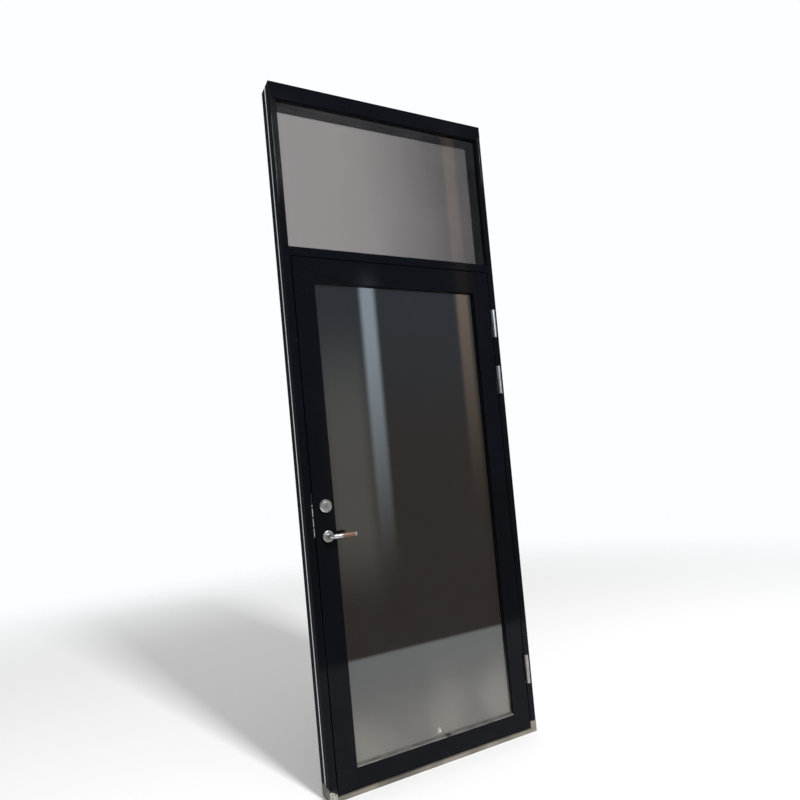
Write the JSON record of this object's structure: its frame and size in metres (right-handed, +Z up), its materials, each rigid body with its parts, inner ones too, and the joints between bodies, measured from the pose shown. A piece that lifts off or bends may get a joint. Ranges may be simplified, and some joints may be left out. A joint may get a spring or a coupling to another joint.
{
  "type": "glass door",
  "caption": "Black timber outside door: a tall glazed leaf hung on lift-off hinges in a frame with a fixed toplight above, with lever, latch, dead bolt and a light sill.",
  "frame": {"origin": "middle of the sill's underside, halfway through the frame's depth", "axes": "+X to the right as seen from outside, +Y into the building, +Z up"},
  "size_m": [0.89, 0.1544, 2.49],
  "materials": {
    "black_timber": "satin black paint",
    "glass": "grey tinted, polished",
    "edge_spacer": "matt",
    "rubber": "matt",
    "block_plastic": "matt",
    "grip_wood": "oiled",
    "aluminium": "natural, dusty",
    "sill": "light grey composite, dusty",
    "hinge_steel": "zinc plated",
    "steel": "brushed"
  },
  "bodies": {
    "frame": {"jamb_left": "black_timber", "jamb_right": "black_timber", "head": "black_timber", "transom": "black_timber", "sill": "sill", "threshold_cap": "aluminium", "frame_seal": "rubber", "toplight_outer_pane": "glass", "toplight_inner_pane": "glass", "toplight_spacer": "edge_spacer", "toplight_tape": "rubber", "toplight_blocks": "block_plastic", "toplight_bead_left": "black_timber", "toplight_bead_right": "black_timber", "toplight_bead_top": "black_timber", "toplight_bead_bottom": "black_timber", "strike_plate": "steel", "frame_screws": "steel", "hinge_top_frame_half": "hinge_steel", "hinge_middle_frame_half": "hinge_steel", "hinge_bottom_frame_half": "hinge_steel", "hinge_pins": "hinge_steel"},
    "leaf": {"lock_stile": "black_timber", "hinge_stile": "black_timber", "top_rail": "black_timber", "bottom_rail": "black_timber", "leaf_outer_pane": "glass", "leaf_inner_pane": "glass", "leaf_spacer": "edge_spacer", "leaf_tape": "rubber", "leaf_blocks": "block_plastic", "leaf_bead_left": "black_timber", "leaf_bead_right": "black_timber", "leaf_bead_top": "black_timber", "leaf_bead_bottom": "black_timber", "leaf_weather_strip": "aluminium", "lock_case": "steel", "lock_forend": "steel", "leaf_screws": "steel", "outer_rose": "steel", "inner_rose": "steel", "cylinder_ring": "steel", "cylinder_housing": "steel", "turn_rose": "steel", "hinge_top_leaf_half": "hinge_steel", "hinge_middle_leaf_half": "hinge_steel", "hinge_bottom_leaf_half": "hinge_steel"},
    "handle": {"outer_lever": "steel", "outer_grip": "grip_wood", "inner_lever": "steel", "inner_grip": "grip_wood", "lever_tips": "steel", "spindle": "steel", "follower": "steel"},
    "latch": {"latch_bolt": "steel"},
    "lock_turn": {"cylinder_plug": "steel", "tail_bar": "steel", "bolt_crank": "steel", "thumb_turn": "steel"},
    "bolt": {"dead_bolt": "steel"}
  },
  "joints": [
    {"name": "leaf_swing", "type": "hinge", "parent": "frame", "child": "leaf", "pos_m": [0.421, -0.048, 1], "axis": [0, 0, 1], "range_deg": [0, 105]},
    {"name": "handle_turn", "type": "hinge", "parent": "leaf", "child": "handle", "pos_m": [-0.372, -0.012, 0.895], "axis": [0, 1, 0], "range_deg": [0, 45], "stiffness_Nm_per_rad": 1.2, "springref_deg": -34.38},
    {"name": "latch_slide", "type": "slide", "parent": "leaf", "child": "latch", "axis": [1, 0, 0], "range_m": [0, 0.01072]},
    {"name": "bolt_turn", "type": "hinge", "parent": "leaf", "child": "lock_turn", "pos_m": [-0.372, -0.012, 1], "axis": [0, 1, 0], "range_deg": [0, 90]},
    {"name": "bolt_slide", "type": "slide", "parent": "leaf", "child": "bolt", "axis": [-1, 0, 0], "range_m": [0, 0.01698]}
  ],
  "couplings": [
    {"joint": "latch_slide", "follows": "handle_turn", "m_per_rad": 0.013643},
    {"joint": "bolt_slide", "follows": "bolt_turn", "m_per_rad": 0.010804}
  ]
}
